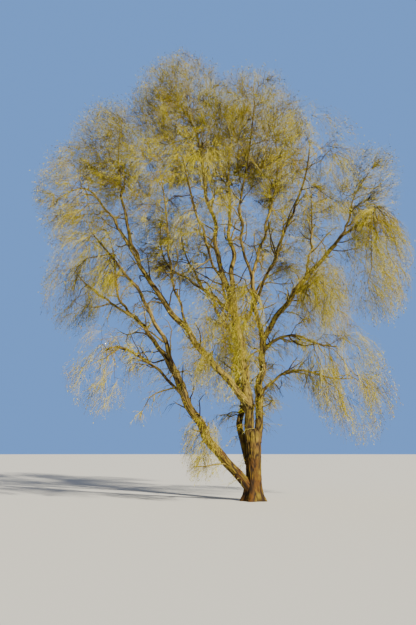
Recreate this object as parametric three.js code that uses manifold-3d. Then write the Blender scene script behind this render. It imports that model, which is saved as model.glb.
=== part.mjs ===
// A weeping willow in early spring: one clump of stems from a flared foot, boughs that rise and
// arch, and masses of golden twigs that stand up in the top and hang in curtains at the sides.
// Millimetres, +Z up. The origin is at ground level in the middle of the trunk's flat foot,
// +X is to the right and +Y is away from someone who looks at the tree from its sunny side.

import * as THREE from "three";
import { mergeVertices } from "three/addons/utils/BufferGeometryUtils.js";
import Module from "manifold-3d";

const METRE = 1000;
const UP = new THREE.Vector3(0, 0, 1);
const FULL_TURN = 2 * Math.PI;
const GOLDEN_ANGLE = Math.PI * (3 - Math.sqrt(5));

// Clearances: between two limbs, between a limb and a twig that passes it, and between two masses
const JOINT_GAP = 0.35;
const TWIG_GAP = 25;
const MASS_GAP = 20;

// The trunk's foot: how much wider than the trunk it is, how high it reaches, and its root ridges
const FLARE = 0.75;
const FLARE_HEIGHT = 420;
const ROOT_RIDGES = 5;
const RIDGE_SHARE = 0.3;
const SHOULDER = 0.72;

// Limbs: how far each swells at its foot, how far it sways, in radii, and how finely it is faceted
const COLLAR = 0.18;
const COLLAR_LENGTH = 0.09;
const SWAY = 0.3;
const SWAY_TURNS = 1.5;
const THICK_LIMB = 75;
const FACETS = { trunk: [18, 8], thick: [8, 6], thin: [6, 4] };

// The stem of a mass: how far it goes on past the middle of its space where the twigs stand, how
// high above the middle it ends where they hang, how it bends, and its taper
const STEM_REACH = 0.55;
const STEM_HEIGHT = 0.35;
const STEM_BEND = 0.45;
const STEM_TAPER = 0.42;
const STEM_FACETS = [4, 4];
const SIDE_STEM_RADIUS = 34;

// Twigs: where they leave the stem, how much of the space they make for, from its top down, where
// they stand and where they hang, how far they go, how they arch, and their size by the stem's.
// Within the clearance of its root, a piece may reach out of its space.
const TWIGS = 7;
const TWIG_SEATS = [0.12, 0.94];
const TWIG_PARTS = [0.82, 1];
const TWIG_REACH = 0.66;
const TWIG_LIFT = 0.5;
const TWIG_SPREAD = 0.12;
const TWIG_SHARE = 0.55;
const TWIG_TAPER = 0.45;
const TWIG_FACETS = [3, 2];
const ROOT_CLEARANCE = 110;

// Sprays of young leaves: one stands off the side of its twig and one goes on from its end. Each
// has its seat along the twig, its lean, how far it hangs, and how deep its root sinks in, in radii.
const SPRAY_SEATS = [0.55, 1];
const SPRAY_LEAN = [1, 0];
const SPRAY_HANG = [1, 0.2];
const SPRAY_SINK = [0.4, 2];
const SPRAY_LENGTH = 1800;
const SPRAY_SPREAD = 0.3;
const SPRAY_WIDTH = 0.2;
const SPRAY_THICKNESS = 0.034;
const SPRAY_WAIST = 0.36;
const NEARLY_UPRIGHT = 0.1;

// A piece that doesn't fit in its space is tried again at these shares of its length
const TRIES = [1, 0.9, 0.8, 0.7, 0.6, 0.5, 0.4];

// Which of a twig's chances is which
const TURN = 1;
const SEAT = 2;
const LEAN = 3;
const SIZE = 5;
const ROLL = 7;

// Each limb: its name, what it grows on and how far along that, a point that it passes half way,
// its tip, its radii at foot and tip, and how far its foot stands to the side.
// Points are in metres from the foot of the trunk, and radii in millimetres.
const LIMBS = [
  ["trunk", null, 0, [0.01, 0, 1.2], [0.04, 0, 2.4], [250, 255]],
  ["west_leader", "trunk", 0.8, [-0.3, 0, 4.7], [-0.65, 0.05, 6.8], [165, 145], -0.1],
  ["east_leader", "trunk", 0.8, [0.35, 0.05, 4.2], [0.45, 0.1, 5.75], [145, 122], 0.12],
  ["west_rise", "west_leader", 0.95, [-1.3, -0.5, 9.3], [-1.8, -1, 12.4], [110, 48]],
  ["centre_rise", "west_leader", 0.96, [-0.65, 0.5, 9], [-0.7, 1, 12.2], [112, 48]],
  ["east_stem", "east_leader", 0.95, [0.2, 0.2, 7], [0.1, 0.1, 8.2], [96, 80]],
  ["inner_rise", "east_stem", 0.94, [-0.35, -0.6, 9.6], [-0.2, -1.5, 11.4], [60, 40]],
  ["outer_rise", "east_stem", 0.95, [0.6, 0.3, 9.7], [1.15, 0.5, 11.9], [64, 40]],
  ["east_bough", "east_leader", 0.95, [1.7, -0.1, 7.4], [3.2, -0.4, 9.1], [104, 78]],
  ["east_reach", "east_bough", 0.95, [3.9, -0.6, 9.7], [4.5, -0.9, 9.5], [62, 42]],
  ["east_upright", "east_bough", 0.95, [3.7, 0, 9.9], [4, 0.3, 10.7], [52, 38]],
  ["east_inner_rise", "east_bough", 0.6, [2.4, 0.5, 9.1], [2.6, 0.9, 10.3], [48, 36]],
  ["low_east_bough", "east_leader", 0.86, [1.2, -0.4, 5.6], [1.9, -0.8, 5.4], [62, 42]],
  ["lower_east_bough", "east_leader", 0.42, [1.3, 0.4, 4.4], [2.4, 0.6, 4.4], [60, 40]],
  ["west_bough", "west_leader", 0.26, [-1.85, -0.3, 5.2], [-3.4, -0.6, 7.2], [130, 100]],
  ["west_bough_upper", "west_bough", 0.96, [-4.15, -0.7, 8.5], [-4.6, -0.8, 10.1], [88, 60]],
  ["west_crest_bough", "west_bough_upper", 0.95, [-4.8, -0.85, 11], [-4.9, -0.9, 11.8], [50, 38]],
  ["far_west_bough", "west_bough_upper", 0.4, [-5.1, -1.2, 9.9], [-5.8, -1.5, 10.7], [50, 38]],
  ["west_inner_rise", "west_bough", 0.62, [-2.75, -1, 7.3], [-2.95, -1.6, 8.5], [48, 36]],
  ["west_arch", "west_leader", 0.93, [-1.75, 0.8, 7.7], [-2.9, 1.7, 8.7], [70, 42]],
  ["leaning_stem", "trunk", 0.12, [-1.6, -0.4, 2.15], [-2.7, -0.7, 4.3], [170, 138]],
  ["leaning_front", "leaning_stem", 0.95, [-3.5, -1, 6.2], [-4.7, -1.7, 7.9], [88, 50]],
  ["leaning_fork", "leaning_stem", 0.95, [-3.6, -0.2, 5.6], [-4.3, 0.3, 6.5], [90, 72]],
  ["leaning_rise", "leaning_fork", 0.94, [-4.95, 0.9, 7.3], [-5.3, 1.5, 8.5], [58, 40]],
  ["leaning_reach", "leaning_fork", 0.94, [-5.2, 0.2, 7], [-6, 0.2, 7.6], [54, 36]],
  ["low_west_bough", "leaning_stem", 0.8, [-3.8, -1.1, 4.7], [-4.8, -1.4, 5], [60, 38]],
  ["back_stem", "trunk", 0.14, [-0.36, 0.85, 3], [-0.4, 1.8, 6], [130, 100]],
  ["back_west_bough", "back_stem", 0.95, [-1.5, 3, 8], [-2.3, 4, 9.7], [80, 44]],
  ["back_east_bough", "back_stem", 0.95, [0.5, 3, 8.1], [1.4, 3.9, 9.9], [80, 44]],
  ["back_low_bough", "back_stem", 0.72, [-0.6, 3, 5.9], [-0.8, 4.3, 6.5], [52, 36]],
  ["north_east_bough", "east_bough", 0.45, [2.3, 1.5, 8], [3, 2.9, 8.6], [50, 36]],
  ["front_west_bough", "west_leader", 0.9, [-1.4, -1.7, 8], [-2, -3.1, 9.3], [56, 40]],
  ["front_east_bough", "east_stem", 0.5, [0.9, -1.6, 8.5], [1.4, -3, 9.7], [54, 40]],
  ["front_low_bough", "west_leader", 0.6, [-0.7, -1.3, 6], [-1, -2.5, 6.2], [50, 34]],
].map(([name, on, at, via, tip, radii, shift = 0]) => ({ name, on, at, via, tip, radii, shift }));

// Each mass of twigs: its name, the limb that carries it and how far along that, the middle and
// the half sizes of the space that it keeps to, in metres, and how far its twigs arch and hang,
// from 0, upright, to 1, weeping.
const MASSES = [
  ["top_west_crown", "west_rise", 1, [-2.6, -0.5, 14.1], [2.2, 2.3, 2.8], 0.1],
  ["top_centre_crown", "centre_rise", 1, [-0.4, 1.5, 14.4], [2.1, 2.4, 2.6], 0.1],
  ["top_front_crown", "inner_rise", 1, [0, -2.2, 12.8], [1.9, 2, 2.2], 0.15],
  ["top_east_crown", "outer_rise", 1, [1.1, 0.4, 13.4], [1.6, 2.2, 2.4], 0.1],
  ["east_curtain", "east_reach", 1, [4.4, -1, 8.1], [1.3, 1.8, 2.2], 1],
  ["east_crest", "east_upright", 1, [4.7, 0.4, 11.8], [1.4, 2, 1.9], 0.2],
  ["east_inner_crown", "east_inner_rise", 1, [2.7, 1.2, 11.6], [1.5, 1.9, 1.8], 0.4],
  ["low_east_curtain", "low_east_bough", 1, [2.9, -1.2, 4.4], [1.5, 1.7, 1.9], 1],
  ["lowest_east_curtain", "lower_east_bough", 1, [3.8, 0.8, 3.7], [1.6, 1.8, 1.9], 0.9],
  ["west_crest", "west_crest_bough", 1, [-4.9, -0.9, 12.5], [1.9, 2.1, 2], 0.15],
  ["far_west_curtain", "far_west_bough", 1, [-6.2, -1.5, 10.5], [1.6, 1.9, 2], 0.5],
  ["west_front_crown", "west_inner_rise", 1, [-3.2, -2.5, 10.3], [1.7, 1.9, 2.1], 0.5],
  ["west_back_crown", "west_arch", 1, [-3.4, 2.2, 10.6], [1.9, 2, 2.2], 0.4],
  ["leaning_curtain", "leaning_front", 1, [-5.3, -2.3, 8.1], [1.6, 1.7, 1.9], 0.8],
  ["leaning_crown", "leaning_rise", 1, [-5.7, 2, 9.8], [1.7, 1.9, 2], 0.5],
  ["far_west_skirt", "leaning_reach", 1, [-6.6, 0.3, 7.7], [1.3, 1.7, 1.9], 0.9],
  ["low_west_curtain", "low_west_bough", 1, [-5, -1.5, 4.3], [1.4, 1.5, 1.6], 1],
  ["back_west_crown", "back_west_bough", 1, [-2.7, 4.7, 11.3], [2, 1.9, 2.4], 0.3],
  ["back_east_crown", "back_east_bough", 1, [1.8, 4.4, 11.5], [2, 1.9, 2.4], 0.3],
  ["back_curtain", "back_low_bough", 1, [-0.9, 5, 5.9], [2, 1.6, 2.4], 1],
  ["north_east_curtain", "north_east_bough", 1, [3.5, 3.8, 7.9], [1.6, 1.7, 2.2], 0.9],
  ["front_west_crown", "front_west_bough", 1, [-2.3, -4.2, 9.7], [1.8, 1.7, 2.4], 0.8],
  ["front_east_crown", "front_east_bough", 1, [1.6, -4, 10.2], [1.8, 1.7, 2.3], 0.8],
  ["front_curtain", "front_low_bough", 1, [-1.1, -3.2, 5], [1.4, 1.3, 2.1], 1],
  ["foot_sprays", "leaning_stem", 0.58, [-1.75, -1, 1.75], [0.75, 0.8, 1.15], 1],
  ["east_bough_curtain", "east_bough", 0.5, [2.3, -1.3, 7.2], [1.1, 1.1, 1.6], 1],
].map(([name, on, at, middle, reach, weep]) => ({ name, on, at, middle, reach, weep }));

const wasm = await Module();
wasm.setup();

// A number from 0 to 1 that depends only on the three that it is made from.
function chance(mass, twig, use) {
  const mixed = Math.sin(mass * 12.9898 + twig * 78.233 + use * 37.719) * 43758.5453;
  return mixed - Math.floor(mixed);
}

function metres(point) {
  return new THREE.Vector3(...point).multiplyScalar(METRE);
}

// A parabola through foot, via and tip that sways a little to the side in between.
class LimbCurve extends THREE.Curve {
  constructor(foot, via, tip, sway, phase) {
    super();
    const handle = via.clone().multiplyScalar(2).sub(foot.clone().add(tip).multiplyScalar(0.5));
    this.arch = new THREE.QuadraticBezierCurve3(foot, handle, tip);
    this.sway = sway;
    this.phase = phase;
  }

  getPoint(t, target = new THREE.Vector3()) {
    const aside = this.sway * Math.sin(Math.PI * t) ** 2;
    const turn = FULL_TURN * SWAY_TURNS * t + this.phase;
    this.arch.getPoint(t, target);
    target.x += aside * Math.cos(turn);
    target.y += aside * Math.sin(turn);
    return target;
  }
}

// A cylinder that tapers from radii[0] to radii[1] and is bent along a curve. swell widens it by
// place and angle, and clear makes it that much bigger all round.
function bentCylinder(curve, radii, [sides, steps], swell = () => 1, clear = 0) {
  const shape = new THREE.CylinderGeometry(radii[1], radii[0], 1, sides, steps);
  const frames = curve.computeFrenetFrames(steps, false);
  const endShift = { 0: -clear, [steps]: clear };
  const place = shape.getAttribute("position");
  for (let i = 0; i < place.count; i++) {
    const step = Math.round((place.getY(i) + 0.5) * steps);
    const [x, z] = [place.getX(i), place.getZ(i)];
    const radius = Math.hypot(x, z);
    const wide = radius > 0 ? swell(step / steps, Math.atan2(x, z)) + clear / radius : 0;
    const point = curve.getPointAt(step / steps);
    point.addScaledVector(frames.binormals[step], x * wide);
    point.addScaledVector(frames.normals[step], z * wide);
    point.addScaledVector(frames.tangents[step], endShift[step] ?? 0);
    place.setXYZ(i, point.x, point.y, point.z);
  }
  return shape;
}

function solidOf(geometry) {
  const bare = geometry.clone();
  bare.deleteAttribute("normal");
  bare.deleteAttribute("uv");
  const merged = mergeVertices(bare);
  return new wasm.Manifold(
    new wasm.Mesh({
      numProp: 3,
      vertProperties: merged.getAttribute("position").array,
      triVerts: new Uint32Array(merged.index.array),
    }),
  );
}

// The largest body of a solid, which drops scraps and fills a hollow that a join has sealed.
function largestBody(solid) {
  return solid.decompose().reduce((most, body) => (body.volume() > most.volume() ? body : most));
}

function nodeOf(name, solid, material) {
  const { vertProperties, triVerts } = solid.getMesh();
  const geometry = new THREE.BufferGeometry();
  geometry.setAttribute("position", new THREE.BufferAttribute(vertProperties, 3));
  geometry.setIndex(new THREE.BufferAttribute(triVerts, 1));
  geometry.computeVertexNormals();
  const mesh = new THREE.Mesh(geometry, material);
  mesh.name = name;
  return mesh;
}

function boxesMeet(a, b) {
  return [0, 1, 2].every((k) => a.min[k] <= b.max[k] && b.min[k] <= a.max[k]);
}

// The trunk widens to root ridges at the ground and rounds off at the fork.
function trunkSwell(height, t, angle) {
  const flare = FLARE * Math.exp((-t * height) / FLARE_HEIGHT);
  const ridges = 1 + RIDGE_SHARE * Math.cos(ROOT_RIDGES * angle);
  return (1 + flare * ridges) * (t === 1 ? SHOULDER : 1);
}

function collarSwell(t) {
  return 1 + COLLAR * Math.exp(-t / COLLAR_LENGTH);
}

function trunkShape(spec, clear) {
  const tip = metres(spec.tip);
  const curve = new LimbCurve(new THREE.Vector3(), metres(spec.via), tip, 0, 0);
  const swell = (t, angle) => trunkSwell(tip.z, t, angle);
  return { curve, solid: solidOf(bentCylinder(curve, spec.radii, FACETS.trunk, swell, clear)) };
}

function limbShape(spec, parent, phase, clear) {
  const foot = parent.curve.getPointAt(spec.at);
  foot.x += spec.shift * METRE;
  const curve = new LimbCurve(foot, metres(spec.via), metres(spec.tip), SWAY * spec.radii[0], phase);
  const facets = spec.radii[0] > THICK_LIMB ? FACETS.thick : FACETS.thin;
  return { curve, solid: solidOf(bentCylinder(curve, spec.radii, facets, collarSwell, clear)) };
}

// The limbs in order. Each is cut clear of the earlier ones, so it starts at their surface.
function growLimbs() {
  const limbs = new Map();
  for (const [index, spec] of LIMBS.entries()) {
    const parent = limbs.get(spec.on);
    const phase = index * GOLDEN_ANGLE;
    const shape = (clear) => (parent ? limbShape(spec, parent, phase, clear) : trunkShape(spec, clear));
    const cutter = shape(JOINT_GAP).solid;
    const bare = shape(0);
    const solid = [...limbs.values()]
      .filter((other) => boxesMeet(cutter.boundingBox(), other.cutter.boundingBox()))
      .reduce((left, other) => left.subtract(other.cutter), bare.solid);
    limbs.set(spec.name, { ...spec, curve: bare.curve, cutter, solid: largestBody(solid) });
  }
  return limbs;
}

// The space of each mass: an ellipsoid, cut off half way to its neighbours.
function spaceOf(spec) {
  const middle = metres(spec.middle);
  const reach = metres(spec.reach);
  return { middle, reach, size: (reach.x + reach.y + reach.z) / 3 };
}

function isInside(point, own, spaces) {
  const share = point.clone().sub(own.middle).divide(own.reach);
  if (share.lengthSq() > 1) return false;
  const mine = point.distanceToSquared(own.middle) - own.size ** 2;
  return spaces.every((other) => {
    if (other === own) return true;
    const theirs = point.distanceToSquared(other.middle) - other.size ** 2;
    return theirs - mine > 2 * MASS_GAP * own.middle.distanceTo(other.middle);
  });
}

// A spray: an octahedron drawn out along a direction, flat, and widest at its waist.
function sprayGeometry(root, along, length, roll) {
  const shape = new THREE.OctahedronGeometry(1);
  const side = new THREE.Vector3().crossVectors(along, UP);
  if (side.length() < NEARLY_UPRIGHT) side.set(1, 0, 0);
  side.normalize().applyAxisAngle(along, roll);
  const face = new THREE.Vector3().crossVectors(side, along).normalize();
  const place = shape.getAttribute("position");
  for (let i = 0; i < place.count; i++) {
    const x = place.getX(i);
    const share = SPRAY_WAIST + x * (x > 0 ? 1 - SPRAY_WAIST : SPRAY_WAIST);
    const point = root.clone().addScaledVector(along, share * length);
    point.addScaledVector(side, (place.getZ(i) * SPRAY_WIDTH * length) / 2);
    point.addScaledVector(face, (place.getY(i) * SPRAY_THICKNESS * length) / 2);
    place.setXYZ(i, point.x, point.y, point.z);
  }
  return shape;
}

// An arch from one point to another. Weeping twigs rise first and upright ones spread first.
function archBetween(from, to, weep) {
  const lift = (TWIG_LIFT * weep - TWIG_SPREAD) * from.distanceTo(to);
  const handle = from.clone().lerp(to, 0.5).addScaledVector(UP, lift);
  return new THREE.QuadraticBezierCurve3(from, handle, to);
}

// Directions spread evenly by the golden angle over the part of a sphere above a share of it.
function spreadDirection(index, count, turn, part = 1) {
  const height = 1 - (part * (2 * index + 1)) / count;
  const across = Math.sqrt(1 - height ** 2);
  const angle = index * GOLDEN_ANGLE + turn * FULL_TURN;
  return new THREE.Vector3(across * Math.cos(angle), across * Math.sin(angle), height);
}

// A mass's stem: from its bough's tip, or from the bough's side part way along, past the middle of
// the space where its twigs stand, or to a point above the middle where they hang.
function stemOf(spec, limb, space) {
  const fromTip = spec.at === 1;
  const foot = limb.curve.getPointAt(spec.at);
  const out = fromTip ? limb.curve.getTangentAt(1) : space.middle.clone().sub(foot).normalize();
  if (fromTip) foot.addScaledVector(out, JOINT_GAP);
  const onward = space.middle.clone().sub(foot).setLength(STEM_REACH * (1 - spec.weep));
  onward.addScaledVector(UP, STEM_HEIGHT * spec.weep);
  const end = space.middle.clone().add(onward.multiply(space.reach));
  const handle = foot.clone().addScaledVector(out, foot.distanceTo(end) * STEM_BEND);
  const curve = new THREE.QuadraticBezierCurve3(foot, handle, end);
  const radius = fromTip ? limb.radii[1] : SIDE_STEM_RADIUS;
  const whole = solidOf(bentCylinder(curve, [radius, radius * STEM_TAPER], STEM_FACETS));
  return { curve, radius, solid: fromTip ? whole : largestBody(whole.subtract(limb.cutter)) };
}

// The pieces of one mass: its stem, then twigs that leave it towards the edge of its space, and
// sprays on each twig. A piece that would leave the space or touch a limb is made shorter or
// left out.
function growMass(index, spec, limbs, spaces) {
  const space = spaces[index];
  const stem = stemOf(spec, limbs.get(spec.on), space);
  const cutters = [...limbs.values()].map((limb) => limb.cutter);
  const pieces = [stem.solid];

  const staysInside = (geometry, root) => {
    const place = geometry.getAttribute("position");
    const point = new THREE.Vector3();
    for (let i = 0; i < place.count; i++) {
      point.fromBufferAttribute(place, i);
      if (point.distanceTo(root) > ROOT_CLEARANCE && !isInside(point, space, spaces)) return false;
    }
    return true;
  };
  const isClear = (solid) => {
    const box = solid.boundingBox();
    const near = cutters.filter((cutter) => boxesMeet(box, cutter.boundingBox()));
    return near.every((cutter) => solid.minGap(cutter, TWIG_GAP) >= TWIG_GAP);
  };
  const longestThatFits = (root, make) => {
    for (const share of TRIES) {
      const made = make(share);
      if (!staysInside(made.geometry, root)) continue;
      const solid = solidOf(made.geometry);
      if (!isClear(solid)) continue;
      pieces.push(solid);
      return made;
    }
    return null;
  };

  for (let twig = 0; twig < TWIGS; twig++) {
    const part = THREE.MathUtils.lerp(...TWIG_PARTS, spec.weep);
    const toward = spreadDirection(twig, TWIGS, chance(index, 0, TURN), part).multiply(space.reach);
    const target = space.middle.clone().addScaledVector(toward, TWIG_REACH);
    const order = (twig + chance(index, twig, SEAT)) / TWIGS;
    const seat = THREE.MathUtils.lerp(...TWIG_SEATS, 1 - order);
    const root = stem.curve.getPointAt(seat);
    const radius = stem.radius * THREE.MathUtils.lerp(1, STEM_TAPER, seat) * TWIG_SHARE;
    const grown = longestThatFits(root, (share) => {
      const curve = archBetween(root, root.clone().lerp(target, share), spec.weep);
      return { curve, geometry: bentCylinder(curve, [radius, radius * TWIG_TAPER], TWIG_FACETS) };
    });
    if (!grown) continue;
    for (const [spray, spraySeat] of SPRAY_SEATS.entries()) {
      const spot = grown.curve.getPointAt(spraySeat);
      const aside = spreadDirection(spray, SPRAY_SEATS.length, chance(index, twig, LEAN + spray));
      const along = grown.curve.getTangentAt(spraySeat).addScaledVector(aside, SPRAY_LEAN[spray]);
      along.addScaledVector(UP, -SPRAY_HANG[spray] * spec.weep).normalize();
      const sink = radius * THREE.MathUtils.lerp(1, TWIG_TAPER, spraySeat) * SPRAY_SINK[spray];
      spot.addScaledVector(along, -sink);
      const size = 1 + SPRAY_SPREAD * (2 * chance(index, twig, SIZE + spray) - 1);
      const roll = chance(index, twig, ROLL + spray) * Math.PI;
      longestThatFits(spot, (share) => ({
        geometry: sprayGeometry(spot, along, SPRAY_LENGTH * size * share, roll),
      }));
    }
  }
  return largestBody(wasm.Manifold.union(pieces));
}

const bark = new THREE.MeshStandardMaterial({ color: 0x8a6a3a, roughness: 0.9, metalness: 0 });
const boughBark = new THREE.MeshStandardMaterial({ color: 0x96854a, roughness: 0.85, metalness: 0 });
const leafyTwigs = new THREE.MeshStandardMaterial({ color: 0xa8993c, roughness: 0.7, metalness: 0 });

const willow = new THREE.Group();
const limbs = growLimbs();
for (const limb of limbs.values()) willow.add(nodeOf(limb.name, limb.solid, limb.on ? boughBark : bark));
const spaces = MASSES.map(spaceOf);
for (const [index, spec] of MASSES.entries())
  willow.add(nodeOf(spec.name, growMass(index, spec, limbs, spaces), leafyTwigs));

export default willow;
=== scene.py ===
"""The looks of a weeping willow in early spring, grown round its packed trunk, boughs and masses.

The trunk and boughs are tapering surfaces with bark relief along the same curves as the solids.
Each mass of twigs is grown again by the solids' rule, in the same space, and carried on to arms,
branchlets, hanging strands, twiglets and small new leaves. Lengths are in metres.
"""

import functools
import math
from collections import namedtuple

import bpy
import numpy as np
from bpy.props import FloatProperty, FloatVectorProperty, PointerProperty
from bpy.types import Operator, Panel, PropertyGroup
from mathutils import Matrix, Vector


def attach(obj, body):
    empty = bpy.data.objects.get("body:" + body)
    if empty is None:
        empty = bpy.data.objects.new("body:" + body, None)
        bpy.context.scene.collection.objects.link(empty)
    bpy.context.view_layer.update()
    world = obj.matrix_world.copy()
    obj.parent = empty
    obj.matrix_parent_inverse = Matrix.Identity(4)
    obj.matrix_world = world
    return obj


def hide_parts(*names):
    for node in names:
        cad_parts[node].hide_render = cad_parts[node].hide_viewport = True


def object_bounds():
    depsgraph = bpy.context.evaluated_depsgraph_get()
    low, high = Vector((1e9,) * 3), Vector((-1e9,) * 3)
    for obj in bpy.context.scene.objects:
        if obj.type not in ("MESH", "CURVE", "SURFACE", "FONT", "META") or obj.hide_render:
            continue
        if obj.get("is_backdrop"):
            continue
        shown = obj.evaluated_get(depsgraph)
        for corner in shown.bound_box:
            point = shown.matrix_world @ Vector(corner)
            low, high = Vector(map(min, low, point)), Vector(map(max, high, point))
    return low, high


bl_info = {
    "name": "Weeping willow",
    "version": (1, 0, 0),
    "blender": (4, 5, 0),
    "location": "3D View > Sidebar > Willow",
    "description": "Grows a weeping willow with bark, boughs, hanging twigs and new leaves",
    "category": "Add Mesh",
}

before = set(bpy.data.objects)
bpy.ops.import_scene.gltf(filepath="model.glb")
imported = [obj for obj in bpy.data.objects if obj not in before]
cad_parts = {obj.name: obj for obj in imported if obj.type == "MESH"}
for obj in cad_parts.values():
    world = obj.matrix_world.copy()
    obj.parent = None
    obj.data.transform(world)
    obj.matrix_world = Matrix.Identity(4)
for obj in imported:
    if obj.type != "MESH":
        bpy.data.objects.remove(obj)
CAD_LOW, CAD_HIGH = (np.array(corner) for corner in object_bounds())

UP = np.array((0.0, 0.0, 1.0))
ACROSS = np.array((1.0, 0.0, 0.0))
AWAY = np.array((0.0, 1.0, 0.0))
LEVEL = ACROSS + AWAY
FULL_TURN = 2 * math.pi
GOLDEN_ANGLE = math.pi * (3 - math.sqrt(5))
SEED = 31

# A direction that no line keeps to, for cross products, the bend that counts as none, as a share of
# the square of a line's length, and the least length that a vector is divided by
ALMOST_UP = UP + 0.01
NEARLY_STRAIGHT = 0.02
LEAST_LENGTH = 1e-9

# Chance, by the solids' rule: the paces of its sine and the sine's size
CHANCE_PACES = (12.9898, 78.233, 37.719)
CHANCE_SIZE = 43758.5453

# The trunk's foot and shoulder, the limbs' collars and how limbs sway, as on the solids
FLARE = 0.75
FLARE_HEIGHT = 0.42
ROOT_RIDGES = 5
RIDGE_SHARE = 0.3
SHOULDER_START = 0.875
SHOULDER = 0.72
COLLAR = 0.18
COLLAR_LENGTH = 0.09
SWAY = 0.3
SWAY_TURNS = 1.5

# Steps of a limb's line, how crooked it is, as a share of its length, what chance that uses, and the
# two waves of it: share, turns and phase
LINE_STEPS = 200
CROOK = 0.013
CROOK_USE = 1
CROOK_WAVES = ((1.0, 2.3, 1), (0.6, 4.1, 2))

# A limb's skin: its steps round and along, with the fewest and most of each, its lumps, how deep its
# fissures are where it is thin, where and how fast the trunk's top rounds, the relief at its two ends,
# the height where the bark has lost its warm brown, and the seeds of its relief and lumps
SKIN_STEP = 0.011
SKIN_SIDES = (20, 150)
TRUNK_RING = 0.014
LIMB_RING = 0.035
SKIN_RINGS = (24, 170)
LUMPS = 0.12
LUMP_LENGTH = 0.35
LUMPS_ROUND = 3
LEAST_DEPTH = 0.12
DEPTH_POWER = 0.8
TRUNK_END = 0.93
TRUNK_END_LENGTH = 0.075
END_RELIEF = (0.5, 0.5)
WARM_TOP = 4.5
RELIEF_SEED = 3
SEED_STEP = 17
LUMP_SEED = 50

# Bark's relief: the gap between broad ridges on a thin limb, which doubles on the trunk, their length
# in gaps and the fewest of them, the pace and seed of the noise that bends them, and the layers of
# ridges: how many round and along the limb for one broad ridge, their bend, width, depth and seed
RIDGE_GAP = 0.03
RIDGE_LENGTH = 7
FEWEST_RIDGES = 4
BEND_PACE = 1.7
BEND_SEED = 5
Layer = namedtuple("Layer", "round along bend width depth seed")
BARK_LAYERS = (Layer(1, 1, 0.9, 0.4, 1, 0), Layer(2, 2.3, 1, 0.5, 0.5, 11), Layer(2, 8, 0, 0.3, 0.2, 23))

# Bark's finish: the ranges of warmth, of blotch noise and of relief that fade one colour into the
# next, how strong the blotches are, and how grain shades, roughens and lifts the surface. Each noise
# has a scale and a detail, and may be stretched.
WARM_RANGE = (0.1, 0.75)
BLOTCHES = (2.3, 3)
BLOTCH_RANGE = (0.45, 0.65)
BLOTCH_SHARE = 0.6
RELIEF_RANGE = (0.15, 0.9)
GRAIN = (16, 6, (1, 1, 0.3))
GRAIN_SHADE = (0.5, 1.4)
GRAIN_ROUGHNESS = (0.78, 0.98)
GRAIN_DEPTH = 0.01
GRAIN_BUMP = 0.6
BARK_SPECULAR = 0.25
PLAIN_SPECULAR = 0.15
TWIG_ROUGHNESS = 0.8
FLOOR_ROUGHNESS = 0.9

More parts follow.
